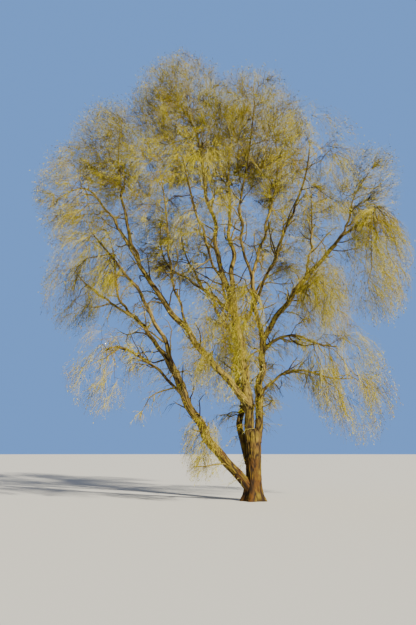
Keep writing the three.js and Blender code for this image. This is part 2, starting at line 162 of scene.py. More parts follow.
# Each limb: its name, what it grows on and how far along that, a point that it passes half way,
# its tip, its radii at foot and tip, and how far its foot stands to the side, all in metres, and
# how thickly short shoots clothe it
Limb = namedtuple("Limb", "name on at via tip radii shift clothed", defaults=(0.0, 1.0))
LIMBS = [Limb(*row) for row in (
    ("trunk", None, 0, (0.01, 0, 1.2), (0.04, 0, 2.4), (0.25, 0.255)),
    ("west_leader", "trunk", 0.8, (-0.3, 0, 4.7), (-0.65, 0.05, 6.8), (0.165, 0.145), -0.1, 3),
    ("east_leader", "trunk", 0.8, (0.35, 0.05, 4.2), (0.45, 0.1, 5.75), (0.145, 0.122), 0.12, 3),
    ("west_rise", "west_leader", 0.95, (-1.3, -0.5, 9.3), (-1.8, -1, 12.4), (0.11, 0.048), 0, 1.6),
    ("centre_rise", "west_leader", 0.96, (-0.65, 0.5, 9), (-0.7, 1, 12.2), (0.112, 0.048), 0, 1.6),
    ("east_stem", "east_leader", 0.95, (0.2, 0.2, 7), (0.1, 0.1, 8.2), (0.096, 0.08), 0, 3),
    ("inner_rise", "east_stem", 0.94, (-0.35, -0.6, 9.6), (-0.2, -1.5, 11.4), (0.06, 0.04), 0, 1.5),
    ("outer_rise", "east_stem", 0.95, (0.6, 0.3, 9.7), (1.15, 0.5, 11.9), (0.064, 0.04), 0, 2.2),
    ("east_bough", "east_leader", 0.95, (1.7, -0.1, 7.4), (3.2, -0.4, 9.1), (0.104, 0.078), 0, 2.5),
    ("east_reach", "east_bough", 0.95, (3.9, -0.6, 9.7), (4.5, -0.9, 9.5), (0.062, 0.042)),
    ("east_upright", "east_bough", 0.95, (3.7, 0, 9.9), (4, 0.3, 10.7), (0.052, 0.038)),
    ("east_inner_rise", "east_bough", 0.6, (2.4, 0.5, 9.1), (2.6, 0.9, 10.3), (0.048, 0.036)),
    ("low_east_bough", "east_leader", 0.86, (1.2, -0.4, 5.6), (1.9, -0.8, 5.4), (0.062, 0.042), 0, 3),
    ("lower_east_bough", "east_leader", 0.42, (1.3, 0.4, 4.4), (2.4, 0.6, 4.4), (0.06, 0.04), 0, 3),
    ("west_bough", "west_leader", 0.26, (-1.85, -0.3, 5.2), (-3.4, -0.6, 7.2), (0.13, 0.1), 0, 1.4),
    ("west_bough_upper", "west_bough", 0.96, (-4.15, -0.7, 8.5), (-4.6, -0.8, 10.1), (0.088, 0.06)),
    ("west_crest_bough", "west_bough_upper", 0.95, (-4.8, -0.85, 11), (-4.9, -0.9, 11.8), (0.05, 0.038)),
    ("far_west_bough", "west_bough_upper", 0.4, (-5.1, -1.2, 9.9), (-5.8, -1.5, 10.7), (0.05, 0.038)),
    ("west_inner_rise", "west_bough", 0.62, (-2.75, -1, 7.3), (-2.95, -1.6, 8.5), (0.048, 0.036)),
    ("west_arch", "west_leader", 0.93, (-1.75, 0.8, 7.7), (-2.9, 1.7, 8.7), (0.07, 0.042)),
    ("leaning_stem", "trunk", 0.12, (-1.6, -0.4, 2.15), (-2.7, -0.7, 4.3), (0.17, 0.138)),
    ("leaning_front", "leaning_stem", 0.95, (-3.5, -1, 6.2), (-4.7, -1.7, 7.9), (0.088, 0.05)),
    ("leaning_fork", "leaning_stem", 0.95, (-3.6, -0.2, 5.6), (-4.3, 0.3, 6.5), (0.09, 0.072), 0, 1.3),
    ("leaning_rise", "leaning_fork", 0.94, (-4.95, 0.9, 7.3), (-5.3, 1.5, 8.5), (0.058, 0.04)),
    ("leaning_reach", "leaning_fork", 0.94, (-5.2, 0.2, 7), (-6, 0.2, 7.6), (0.054, 0.036)),
    ("low_west_bough", "leaning_stem", 0.8, (-3.8, -1.1, 4.7), (-4.8, -1.4, 5), (0.06, 0.038), 0, 2.5),
    ("back_stem", "trunk", 0.14, (-0.36, 0.85, 3), (-0.4, 1.8, 6), (0.13, 0.1), 0, 2),
    ("back_west_bough", "back_stem", 0.95, (-1.5, 3, 8), (-2.3, 4, 9.7), (0.08, 0.044)),
    ("back_east_bough", "back_stem", 0.95, (0.5, 3, 8.1), (1.4, 3.9, 9.9), (0.08, 0.044)),
    ("back_low_bough", "back_stem", 0.72, (-0.6, 3, 5.9), (-0.8, 4.3, 6.5), (0.052, 0.036)),
    ("north_east_bough", "east_bough", 0.45, (2.3, 1.5, 8), (3, 2.9, 8.6), (0.05, 0.036)),
    ("front_west_bough", "west_leader", 0.9, (-1.4, -1.7, 8), (-2, -3.1, 9.3), (0.056, 0.04)),
    ("front_east_bough", "east_stem", 0.5, (0.9, -1.6, 8.5), (1.4, -3, 9.7), (0.054, 0.04)),
    ("front_low_bough", "west_leader", 0.6, (-0.7, -1.3, 6), (-1, -2.5, 6.2), (0.05, 0.034), 0, 1.5),
)]

# Each mass of twigs: its name, the limb that carries it, the middle and half sizes of its space in
# metres, how far its twigs hang, from 0, upright, to 1, weeping, how full of fine growth it is, and
# how far along the limb it stands
Mass = namedtuple("Mass", "name on middle reach weep full at", defaults=(1,))
MASSES = [Mass(*row) for row in (
    ("top_west_crown", "west_rise", (-2.6, -0.5, 14.1), (2.2, 2.3, 2.8), 0.1, 2.9),
    ("top_centre_crown", "centre_rise", (-0.4, 1.5, 14.4), (2.1, 2.4, 2.6), 0.1, 1.5),
    ("top_front_crown", "inner_rise", (0, -2.2, 12.8), (1.9, 2, 2.2), 0.15, 1.6),
    ("top_east_crown", "outer_rise", (1.1, 0.4, 13.4), (1.6, 2.2, 2.4), 0.1, 1.6),
    ("east_curtain", "east_reach", (4.4, -1, 8.1), (1.3, 1.8, 2.2), 1, 1.3),
    ("east_crest", "east_upright", (4.7, 0.4, 11.8), (1.4, 2, 1.9), 0.2, 0.95),
    ("east_inner_crown", "east_inner_rise", (2.7, 1.2, 11.6), (1.5, 1.9, 1.8), 0.4, 0.5),
    ("low_east_curtain", "low_east_bough", (2.9, -1.2, 4.4), (1.5, 1.7, 1.9), 1, 0.36),
    ("lowest_east_curtain", "lower_east_bough", (3.8, 0.8, 3.7), (1.6, 1.8, 1.9), 0.9, 0.34),
    ("west_crest", "west_crest_bough", (-4.9, -0.9, 12.5), (1.9, 2.1, 2), 0.15, 3.4),
    ("far_west_curtain", "far_west_bough", (-6.2, -1.5, 10.5), (1.6, 1.9, 2), 0.5, 2.3),
    ("west_front_crown", "west_inner_rise", (-3.2, -2.5, 10.3), (1.7, 1.9, 2.1), 0.5, 0.6),
    ("west_back_crown", "west_arch", (-3.4, 2.2, 10.6), (1.9, 2, 2.2), 0.4, 0.85),
    ("leaning_curtain", "leaning_front", (-5.3, -2.3, 8.1), (1.6, 1.7, 1.9), 0.8, 0.36),
    ("leaning_crown", "leaning_rise", (-5.7, 2, 9.8), (1.7, 1.9, 2), 0.5, 0.75),
    ("far_west_skirt", "leaning_reach", (-6.6, 0.3, 7.7), (1.3, 1.7, 1.9), 0.9, 0.5),
    ("low_west_curtain", "low_west_bough", (-5, -1.5, 4.3), (1.4, 1.5, 1.6), 1, 0.3),
    ("back_west_crown", "back_west_bough", (-2.7, 4.7, 11.3), (2, 1.9, 2.4), 0.3, 0.75),
    ("back_east_crown", "back_east_bough", (1.8, 4.4, 11.5), (2, 1.9, 2.4), 0.3, 0.8),
    ("back_curtain", "back_low_bough", (-0.9, 5, 5.9), (2, 1.6, 2.4), 1, 0.6),
    ("north_east_curtain", "north_east_bough", (3.5, 3.8, 7.9), (1.6, 1.7, 2.2), 0.9, 0.7),
    ("front_west_crown", "front_west_bough", (-2.3, -4.2, 9.7), (1.8, 1.7, 2.4), 0.8, 0.25),
    ("front_east_crown", "front_east_bough", (1.6, -4, 10.2), (1.8, 1.7, 2.3), 0.8, 0.4),
    ("front_curtain", "front_low_bough", (-1.1, -3.2, 5), (1.4, 1.3, 2.1), 1, 0.85),
    ("foot_sprays", "leaning_stem", (-1.75, -1, 1.75), (0.75, 0.8, 1.15), 1, 2.6, 0.58),
    ("east_bough_curtain", "east_bough", (2.3, -1.3, 7.2), (1.1, 1.1, 1.6), 1, 1.5, 0.5),
)]

# The middles, half sizes and mean sizes of the masses' spaces
MIDDLES = np.array([mass.middle for mass in MASSES], float)
REACHES = np.array([mass.reach for mass in MASSES], float)
SIZES = REACHES.mean(axis=1)

# The solids' rule for a mass. Its stem makes for a point past the middle where the mass stands and
# above it where it hangs, and goes on from its limb's tip at first. On a limb's side it has a radius
# of its own.
STEM_REACH = 0.55
STEM_HEIGHT = 0.35
STEM_BEND = 0.45
STEM_TAPER = 0.42
STEM_STEPS = 40
SIDE_STEM_RADIUS = 0.034

# The twigs on it leave between two seats for points spread evenly over a part of the space. Each
# takes the longest of the shares tried that keeps its outer half in the mass's own space.
TWIG_COUNT = 7
TWIG_REACH = 0.66
TWIG_SEATS = (0.12, 0.94)
TWIG_PARTS = (0.82, 1.0)
TWIG_LIFT = 0.5
TWIG_SPREAD = 0.12
TWIG_SHARE = 0.55
TWIG_TAPER = 0.3
TWIG_STEPS = 12
TWIG_CROOK = 0.03
TURN_USE = 1
SEAT_USE = 2
TRIES = (1, 0.9, 0.8, 0.7, 0.6, 0.5, 0.4)

# Each order of growth on lines that are there: how many to a metre of those where growth stands and
# where it hangs, the range of places along them, the range of angles to them, and the length, the
# droop and the outward spread of one that stands and of one that hangs. Then how crooked it is, how
# many steps its line has, its radius at the root, and whether it is sparser near a mass's edge.
Order = namedtuple(
    "Order", "rate seats leaves length droop spread crook steps radius thins", defaults=(False,)
)
TWIGLETS = Order(
    (26, 17), (0.05, 1), (0.35, 1.1), (0.7, 0.62), (0.05, 1.0), (0.45, 0.3), 0.1, 1, 0.0115, True
)
STRANDS = Order(
    (11, 11), (0.05, 1), (0.3, 0.95), (0.5, 1.1), (0.3, 2.0), (0.35, 0.3), 0.16, 2, 0.007, True
)
SIDE_TWIGS = Order(
    (5, 5), (0.1, 1), (0.4, 0.9), (0.3, 0.34), (0.2, 0.5), (0.3, 0.25), 0.12, 1, 0.0065
)
LIMB_ARMS = Order(
    (1.9, 1.9), (0.15, 0.97), (0.45, 1.1), (1.2, 1.2), (-0.3, -0.05), (0.1, 0.2), 0.3, 5, 0.028
)
LIMB_SHOOTS = Order(
    (3.2, 3.2), (0.08, 1), (0.6, 1.3), (0.45, 0.6), (0.4, 0.9), (0.1, 0.2), 0.2, 2, 0.008
)
LIMB_TWIGLETS = TWIGLETS._replace(rate=(9, 9), length=(0.35, 0.35))
LIMB_WEEP = 0.7

# Masses that hang more than this carry strands with side twigs, and the others carry twiglets
STRANDS_FROM = 0.55

# What chance does to a line of these orders, how its length falls along its parent, its radius at
# the tip, and the most that it takes of its parent's radius
TURN_CHANCE = 0.3
LENGTH_CHANCE = (0.55, 1.45)
LENGTH_ALONG = (1.2, 0.8)
DROOP_CHANCE = (0.6, 1.3)
RADIUS_CHANCE = (0.8, 1.25)
TIP_SHARE = 0.45
CHILD_SHARE = 0.8

# Where a mass's edge starts and ends, in its half sizes, and the shares of growth there
EDGE = (0.85, 1.04)
EDGE_SHARES = (1.0, 0.5)

# Each order that reaches for points spread through a mass: how many to the square of its size, how
# far it lifts on the way where growth stands and where it hangs, how much it follows its parent at
# first, its crook, how many steps its line has, and its radii at the root and, as a share, at the tip
Reach = namedtuple("Reach", "count lift follow crook steps radius taper")
ARMS = Reach(12, (-0.05, 0.36), 0.15, 0.05, 5, 0.02, 0.4)
BRANCHLETS = Reach(112, (-0.05, 0.3), 0.22, 0.05, 2, 0.009, 0.5)
REACH_RADIUS_CHANCE = (0.7, 1.25)
WANDER_PACES = (0.8, 2.2)

# Growth flows up and out of the crown's fork where it stands, and down and a little out where it
# hangs. A way against the flow costs this much more than its length.
CROWN_FORK = np.array((-0.3, 0, 5.5))
AGAINST_FLOW = 0.9
HANG_OUT = 0.4

# The points reached for: the power of chance that spreads them to a mass's edge, how many are tried
# for each one, and the whole crown's space, with the shares that are kept deep in it and on its shell
ENDS_TO_EDGE = 0.3
SPREAD_TRIES = 20
CROWN_MIDDLE = np.array((-0.9, 0, 8.5))
CROWN_REACH = np.array((6.8, 6.0, 8.7))
SHELL = (0.3, 0.75)
SHELL_SHARES = (0.2, 1.0)

# A spray's number, from 0, dark, to 1, pale, is chance to a power. The power is more than 1 deep in the
# crown, partly for browner inner twigs and partly as painted shade, and low down, as painted shade, and
# less where growth hangs, as painted light on the sunlit curtains.
INSIDE_TONE_AND_SHADE = (2.1, 1.05)
LOW_GROWTH = (2.0, 7.0)
LOW_PAINTED_SHADE = (1.3, 1.0)
HANGING_PAINTED_LIGHT = 0.5

# Growth stays this far within a mass's space, above the ground and round the solids' box. A line
# that leaves them is grown again shorter, from the same seed, or left out where too little stays.
REACH_OVER = 1.04
CLEARANCE = 0.3
BOX_EDGE = 0.15
LEAST_STAY = 0.4
SEED_LIMIT = 1 << 30

# Sides of the tubes, and the range of relief values dealt at random to the boughs and arms in the crown,
# which darken them toward the fissure colour: partly random tone, partly painted shade for boughs that
# stand in shadow
BOUGH_SIDES = 7
ARM_SIDES = 4
TWIG_SIDES = 3
CROWN_TONE_AND_SHADE = (0.15, 0.8)

# Leaves: how many to a metre, where on it, their angles to it, how far they droop, the range of
# their sizes, where along them they are widest and how far they are folded there
LEAVES_TO_A_METRE = 1.1
LEAF_SEATS = (0.1, 1)
LEAF_ANGLES = (0.35, 1.0)
LEAF_DROOP = 0.3
LEAF_SIZES = (0.6, 1.3)
LEAF_WAIST = 0.42
LEAF_FOLD = 0.18

# The tints that are dealt out by spray, from dark to pale: a name, the share of sprays, and colours. The
# spread from dark brown to pale gold is partly the twigs' own colours and partly painted shade and
# painted light for shaded and sunlit sprays.
Tint = namedtuple("Tint", "name share twig_colour leaf_colour")
TINTS = (
    Tint("brown", 0.24, (0.032, 0.023, 0.007), (0.07, 0.056, 0.011)),
    Tint("olive", 0.22, (0.19, 0.172, 0.016), (0.22, 0.206, 0.018)),
    Tint("ochre", 0.14, (0.24, 0.175, 0.018), (0.265, 0.207, 0.02)),
    Tint("gold", 0.2, (0.38, 0.318, 0.022), (0.325, 0.285, 0.022)),
    Tint("lemon", 0.1, (0.38, 0.345, 0.023), (0.335, 0.313, 0.022)),
    Tint("pale", 0.1, (0.42, 0.378, 0.1), (0.38, 0.346, 0.09)),
)

# The stage: the floor's sides and how far it lies below the foot, how far the camera sees, and the
# lamps, each with its strength, its colour, and its softness, tilt and turn in degrees
FLOOR_SIDES = 96
FLOOR_DROP = 0.002
FARTHEST = 2000
Lamp = namedtuple("Lamp", "name strength colour softness tilt turn")
LAMPS = (
    Lamp("sun", 12, (1.0, 0.9, 0.68), 2, 65, 42),
    Lamp("fill", 0.15, (0.95, 0.95, 0.9), 40, 50, 200),
)


def number_setting(name, description, default, unit="LENGTH"):
    """A property for a number: a length in metres, if no other unit is named."""
    return FloatProperty(name=name, description=description, default=default, unit=unit)


def colour_setting(what, default):
    """A property for the colour of what it is named after."""
    name, description = what.capitalize(), f"Colour of the {what}"
    return FloatVectorProperty(
        name=name, description=description, default=default, subtype="COLOR", min=0, max=1
    )


class WillowSettings(PropertyGroup):
    """Sizes and colours of the tree that a user would change."""

    bark_depth: number_setting("Bark depth", "Depth of the trunk's fissures", 0.026)
    leaf_length: number_setting("Leaf length", "Length of a new leaf, larger than life", 0.075)
    leaf_width: number_setting("Leaf width", "Width of a new leaf", 0.02)
    trunk_colour: colour_setting("trunk's bark ridges", (0.082, 0.035, 0.004))
    bough_colour: colour_setting("boughs' bark ridges", (0.23, 0.172, 0.05))
    moss_colour: colour_setting("bark's mossy blotches", (0.2, 0.16, 0.012))
    # The fissure colour is partly the bark's own darker colour and partly painted shade in the recesses
    fissure_colour: colour_setting("bark's fissures", (0.018, 0.009, 0.004))


class StageSettings(PropertyGroup):
    """The camera, the floor and the backdrop."""

    camera_across: number_setting("Camera across", "Camera's place to the right of the trunk", -1.56)
    camera_away: number_setting("Camera away", "Camera's distance in front of the trunk", 19.6)
    camera_height: number_setting("Camera height", "Eye height above the ground", 1.6)
    camera_tilt: number_setting("Camera tilt", "How far it looks up", math.radians(14.232), "ROTATION")
    lens: number_setting("Lens", "Focal length in millimetres", 31.68, "CAMERA")
    floor_radius: number_setting("Floor radius", "Radius of the round floor", 400)
    floor_colour: colour_setting("plain floor", (0.6, 0.61, 0.62))
    backdrop_colour: colour_setting("plain backdrop", (0.17, 0.36, 0.82))
    sky_light: colour_setting("soft light from all round", (0.19, 0.22, 0.3))


def chance(mass, twig, use):
    """A number from 0 to 1 that depends only on the three: the fraction of a large sine."""
    paces = CHANCE_PACES
    mixed = np.sin(mass * paces[0] + twig * paces[1] + use * paces[2]) * CHANCE_SIZE
    return mixed - np.floor(mixed)


def between(pair, share):
    """The value that lies a share of the way from the first of a pair to the second."""
    return pair[0] + (pair[1] - pair[0]) * share


def lengths(vectors):
    """The length of each vector."""
    return np.linalg.norm(vectors, axis=-1)


def unit(vectors):
    """The vectors divided by their lengths."""
    return vectors / np.maximum(lengths(vectors), LEAST_LENGTH)[..., None]


def turned(angle, right, back):
    """Directions at an angle from one axis towards another: cos × right + sin × back."""
    return np.cos(angle)[..., None] * right + np.sin(angle)[..., None] * back


def arch_points(foot, handle, tip, share):
    """Points of a parabola: (1-t)² foot + 2 t (1-t) handle + t² tip."""
    t = np.asarray(share)[..., None]
    return (1 - t) ** 2 * foot + 2 * t * (1 - t) * handle + t ** 2 * tip


def even_line(line, steps):
    """A line of points taken again at equal steps of its own length."""
    walked = np.concatenate(([0], np.cumsum(lengths(np.diff(line, axis=0)))))
    stops = np.linspace(0, walked[-1], steps + 1)
    return np.stack([np.interp(stops, walked, line[:, k]) for k in range(3)], axis=1)


def point_at(line, share):
    """The point of an even line that lies a share of its length along it."""
    places = np.asarray(share) * (len(line) - 1)
    return np.stack([np.interp(places, np.arange(len(line)), line[:, k]) for k in range(3)], axis=-1)


def line_lengths(lines):
    """The length of each of many lines: the sum of its steps' lengths."""
    return lengths(np.diff(lines, axis=-2)).sum(axis=-1)


@functools.lru_cache(maxsize=None)
def limb_lines():
    """Each limb's centre line: a parabola through foot, via and tip, swaying and a little crooked.

    The sway is a turning offset that grows and dies as sin²; the crook is two slow sines.
    """
    lines = {}
    t = np.linspace(0, 1, LINE_STEPS + 1)
    for index, limb in enumerate(LIMBS):
        foot = np.zeros(3) if limb.on is None else point_at(lines[limb.on], limb.at)
        foot = foot + limb.shift * ACROSS
        via, tip = np.array(limb.via, float), np.array(limb.tip, float)
        handle = 2 * via - (foot + tip) / 2
        line = arch_points(foot, handle, tip, t)
        if limb.on is not None:
            aside = SWAY * limb.radii[0] * np.sin(math.pi * t) ** 2
            turn = FULL_TURN * SWAY_TURNS * t + index * GOLDEN_ANGLE
            line += aside[:, None] * turned(turn, ACROSS, AWAY)
            crook = CROOK * lengths(tip - foot) * np.sin(math.pi * t)
            for axis in range(2):
                start = FULL_TURN * chance(index, axis, CROOK_USE)
                for share, turns, phase in CROOK_WAVES:
                    line[:, axis] += share * crook * np.sin(FULL_TURN * turns * t + phase * start)
        lines[limb.name] = even_line(line, LINE_STEPS)
    return lines


def lattice_noise(u, v, cells, seed):
    """Smooth noise from 0 to 1 on a grid of random values: it repeats after `cells` along u."""
    column, row = np.floor(u), np.floor(v)
    across, along = u - column, v - row
    across, along = across ** 2 * (3 - 2 * across), along ** 2 * (3 - 2 * along)

    def corner(i, j):
        return chance(np.mod(column + i, cells) + seed, row + j, seed)

    rows = [between((corner(0, j), corner(1, j)), across) for j in range(2)]
    return between(rows, along)


def ridges(u, v, cells, width, seed):
    """1 on a ridge and 0 in a fissure, which runs where smooth noise passes its middle value."""
    return np.clip(np.abs(2 * lattice_noise(u, v, cells, seed) - 1) / width, 0, 1)


def bark_relief(turn, height, girth, gap, seed):
    """Relief from 0 in a fissure to 1 on a ridge: broad ridges × narrow ridges × cracks across.

    The noise is stretched along the limb and bent a little, so that fissures split and join.
    """
    cells = max(FEWEST_RIDGES, round(girth / gap))
    u, v = turn * cells, height / (gap * RIDGE_LENGTH)
    bend = lattice_noise(u, v * BEND_PACE, cells, seed + BEND_SEED) - 0.5
    relief = 1
    for layer in BARK_LAYERS:
        own_cells = layer.round * cells
        across = np.mod(layer.round * u + layer.bend * bend, own_cells)
        height_on_ridge = ridges(across, layer.along * v, own_cells, layer.width, seed + layer.seed)
        relief = relief * (1 - layer.depth * (1 - height_on_ridge))
    return relief


def add_object(name, data):
    """A new object in the scene, at the origin and unturned."""
    made = bpy.data.objects.new(name, data)
    bpy.context.scene.collection.objects.link(made)
    return made


def make_mesh(name, vertices, triangles, smooth=True, values=()):
    """A mesh object from arrays of vertices and triangles, with named values on its points."""
    mesh = bpy.data.meshes.new(name)
    mesh.vertices.add(len(vertices))
    mesh.vertices.foreach_set("co", np.ascontiguousarray(vertices, np.float32).ravel())
    mesh.loops.add(triangles.size)
    mesh.loops.foreach_set("vertex_index", np.ascontiguousarray(triangles, np.int32).ravel())
    mesh.polygons.add(len(triangles))
    mesh.polygons.foreach_set("loop_start", np.arange(0, triangles.size, 3, dtype=np.int32))
    mesh.polygons.foreach_set("use_smooth", np.full(len(triangles), smooth))
    for key, numbers in values:
        mesh.attributes.new(key, "FLOAT", "POINT").data.foreach_set("value", numbers.astype(np.float32))
    mesh.update(calc_edges=True)
    mesh.validate()
    return add_object(name, mesh)


def finish_piece(piece, material, nodes=()):
    """Gives a piece its material, and tells the frame what it rides on and stands for."""
    piece.data.materials.append(material)
    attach(piece, "root")
    if nodes:
        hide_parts(*nodes)


def fan(low, high, point):
    """Triangles from each pair of points to one point."""
    return np.stack((low, high, np.full(len(low), point)), axis=-1)


def ring_triangles(rings, sides):
    """Two triangles for each cell between one ring of points and the next, and the last ring's start."""
    ring = np.arange(rings - 1)[:, None] * sides
    side = np.arange(sides)
    low, low_next = ring + side, ring + (side + 1) % sides
    high, high_next = low + sides, low_next + sides
    body = np.stack((low, low_next, high_next, low, high_next, high), axis=-1).reshape(-1, 3)
    return body, (rings - 1) * sides


def closed_triangles(rings, sides):
    """The triangles of a closed tube of rings, with a point at each end after the rings."""
    body, last = ring_triangles(rings, sides)
    side = np.arange(sides)
    beside = (side + 1) % sides
    foot = rings * sides
    return np.concatenate((body, fan(beside, side, foot), fan(last + side, last + beside, foot + 1)))


def side_axes(line):
    """Two directions square to a line at each of its points, from the plane that it bends in."""
    tangents = unit(np.gradient(line, axis=0))
    middle = line[len(line) // 2]
    bend = np.cross(middle - line[0], line[-1] - middle)
    if lengths(bend) < NEARLY_STRAIGHT * lengths(line[-1] - line[0]) ** 2:
        bend = np.cross(line[-1] - line[0], ACROSS)
    right = unit(np.cross(tangents, bend))
    return right, unit(np.cross(right, tangents))


def limb_width(limb, share, turn):
    """How much wider than its taper a limb is: root ridges and shoulder on the trunk, or a collar."""
    if limb.on is not None:
        return 1 + COLLAR * np.exp(-share / COLLAR_LENGTH)
    flare = FLARE * np.exp(-share * limb.tip[2] / FLARE_HEIGHT)
    roots = 1 + RIDGE_SHARE * np.cos(ROOT_RIDGES * turn * FULL_TURN)
    past = np.clip((share - SHOULDER_START) / (1 - SHOULDER_START), 0, 1)
    return (1 + flare * roots) * (1 - (1 - SHOULDER) * past ** 2)


def limb_surface(index, limb, depth):
    """A limb's skin: rings round its line, r = taper × width × lumps − depth × (1 − relief).

    Its values are the relief and the warmth, which is 1 near the ground and 0 high up.
    """
    line = limb_lines()[limb.name]
    length = line_lengths(line)
    radius, trunk_radii = max(limb.radii), LIMBS[0].radii
    is_trunk = limb.on is None
    sides = int(np.clip(FULL_TURN * radius / SKIN_STEP, *SKIN_SIDES))
    rings = int(np.clip(length / (TRUNK_RING if is_trunk else LIMB_RING), *SKIN_RINGS))
    centres = even_line(line, rings - 1)
    right, back = side_axes(centres)
    share = np.linspace(0, 1, rings)[:, None]
    turn = (np.arange(sides) / sides)[None, :]
    taper = between(limb.radii, share)
    gap = RIDGE_GAP * (1 + radius / max(trunk_radii))
    height = share * length
    relief = bark_relief(turn, height, FULL_TURN * radius, gap, index * SEED_STEP + RELIEF_SEED)
    swell = lattice_noise(turn * LUMPS_ROUND, height / LUMP_LENGTH, LUMPS_ROUND, index + LUMP_SEED)
    lumps = 1 + LUMPS * (swell - 0.5)
    own_depth = depth * np.clip(taper / trunk_radii[0], LEAST_DEPTH, 1) ** DEPTH_POWER
    away = taper * limb_width(limb, share, turn) * lumps - own_depth * (1 - relief)
    if is_trunk:
        away = away * np.sqrt(1 - np.clip((share - TRUNK_END) / TRUNK_END_LENGTH, 0, 1) ** 2)
    outward = turned(turn * FULL_TURN, right[:, None], back[:, None])
    skin = centres[:, None] + away[..., None] * outward
    if is_trunk:
        skin[..., 2] = np.maximum(skin[..., 2], 0)
        skin[0, :, 2] = 0
    ends = np.stack((centres[0], centres[-1]))
    vertices = np.concatenate((skin.reshape(-1, 3), ends))
    values = np.concatenate((relief.ravel(), END_RELIEF))
    warmth = np.clip((WARM_TOP - vertices[:, 2]) / WARM_TOP, 0, 1)
    return vertices, closed_triangles(rings, sides), values, warmth


def in_box(points):
    """True where points lie in the solids' box, or near it."""
    return (points > CAD_LOW - BOX_EDGE).all(-1) & (points < CAD_HIGH + BOX_EDGE).all(-1)


def how_far_out(points, middle, reach):
    """How far out points lie in an ellipsoid: 0 in its middle and 1 on its surface."""
    return lengths((points - middle) / reach)


def in_reach(points, index):
    """True where points lie in a mass's ellipsoid and in the solids' box."""
    return in_box(points) & (how_far_out(points, MIDDLES[index], REACHES[index]) <= REACH_OVER)


def is_inside(points, index):
    """True where points lie in reach of a mass and in its part of the crown.

    A point is in the part of the mass for which its squared distance to the middle, less the square
    of the mean size, is least.
    """
    parts = ((points[..., None, :] - MIDDLES) ** 2).sum(-1) - SIZES ** 2
    return in_reach(points, index) & (parts.argmin(-1) == index)


def spread_direction(twig, turn, part):
    """Directions of a mass's twigs: evenly spread by the golden angle over a sphere, from its top."""
    height = 1 - part * (2 * twig[:, None] + 1) / TWIG_COUNT
    around = turned(twig * GOLDEN_ANGLE + turn * FULL_TURN, ACROSS, AWAY)
    return np.sqrt(1 - height ** 2) * around + height * UP


def mass_stem(index):
    """A mass's stem, by the solids' rule, as an even line, and its radius at the foot."""
    mass, middle = MASSES[index], MIDDLES[index]
    line = limb_lines()[mass.on]
    foot = point_at(line, mass.at)
    from_tip = mass.at == 1
    out = unit(line[-1] - line[-2] if from_tip else middle - foot)
    onward = unit(middle - foot) * STEM_REACH * (1 - mass.weep) + UP * STEM_HEIGHT * mass.weep
    end = middle + onward * REACHES[index]
    handle = foot + out * lengths(end - foot) * STEM_BEND
    stem = even_line(arch_points(foot, handle, end, np.linspace(0, 1, LINE_STEPS + 1)), STEM_STEPS)
    limb = next(limb for limb in LIMBS if limb.name == mass.on)
    return stem, limb.radii[1] if from_tip else SIDE_STEM_RADIUS


def scatter(lines, rate, seats, random):
    """Random places on lines, so many to a metre: which line, how far along, the point, its direction."""
    metres = line_lengths(lines)
    count = round(rate * metres.sum())
    which = random.choice(len(metres), count, p=metres / metres.sum())
    share = random.uniform(*seats, count)
    place = share * (lines.shape[1] - 1)
    low = place.astype(int)
    start, end = lines[which, low], lines[which, low + 1]
    return which, share, between((start, end), (place - low)[:, None]), unit(end - start)


def turned_off(tangents, angle, turn):
    """Directions that leave tangents at an angle, round them by a turn."""
    side = unit(np.cross(tangents, ALMOST_UP))
    around = turned(turn, side, np.cross(tangents, side))
    return unit(turned(angle, tangents, around))


def wander(lines, share, random):
    """Lines bent aside by slow sines, each less its own start so that the root stays in place."""
    count, points, _ = lines.shape
    t = np.linspace(0, 1, points)[None, :, None]
    start = random.uniform(0, FULL_TURN, (count, 1, 3))
    pace = random.uniform(*WANDER_PACES, (count, 1, 3))
    wave = np.sin(FULL_TURN * pace * t + start) - np.sin(start)
    return lines + wave * share * line_lengths(lines)[:, None, None]


def thickness(points, index):
    """The share of growth that points carry: less near a mass's edge."""
    if index is None:
        return 1
    return np.interp(how_far_out(points, MIDDLES[index], REACHES[index]), EDGE, EDGE_SHARES)


def grow_lines(order, start, heading, length, droop, seed):
    """Lines of equal steps that turn to the ground by their droop, and at random by their crook."""
    random, steps = np.random.default_rng(seed), order.steps
    points = [start]
    for _ in range(steps):
        crook = random.normal(0, order.crook, heading.shape)
        heading = unit(heading - UP * (droop / steps)[:, None] + crook)
        points.append(points[-1] + heading * (length / steps)[:, None])
    return np.stack(points, axis=1)


def kept_in_space(order, start, heading, length, droop, random, index):
    """Lines grown as grow_lines does, made shorter where they leave a mass's space, or left out."""
    seed = random.integers(SEED_LIMIT)
    tried = grow_lines(order, start, heading, length, droop, seed)
    fits = (tried[..., 2] > CLEARANCE) & (in_box(tried) if index is None else in_reach(tried, index))
    stays = np.cumprod(fits, axis=1).mean(axis=1)
    grown = grow_lines(order, start, heading, length * stays, droop, seed)
    keep = (stays > LEAST_STAY) & (in_box(grown) & (grown[..., 2] > CLEARANCE)).all(axis=1)
    return grown[keep], keep


# Lines of one order: their points, the radius at each point, and a number from 0 to 1 for the spray
Shoots = namedtuple("Shoots", "points radii spray")


def join_shoots(groups):
    """Several groups of lines with the same steps as one."""
    return Shoots(*(np.concatenate(part) for part in zip(*groups)))


def child_radii(order, chances, taper, parents, random):
    """Radii along new lines: at the root by chance, but no more than a share of their parents'."""
    foot = np.minimum(order.radius * random.uniform(*chances, len(parents)), CHILD_SHARE * parents)
    return foot[:, None] * np.linspace(1, taper, order.steps + 1)


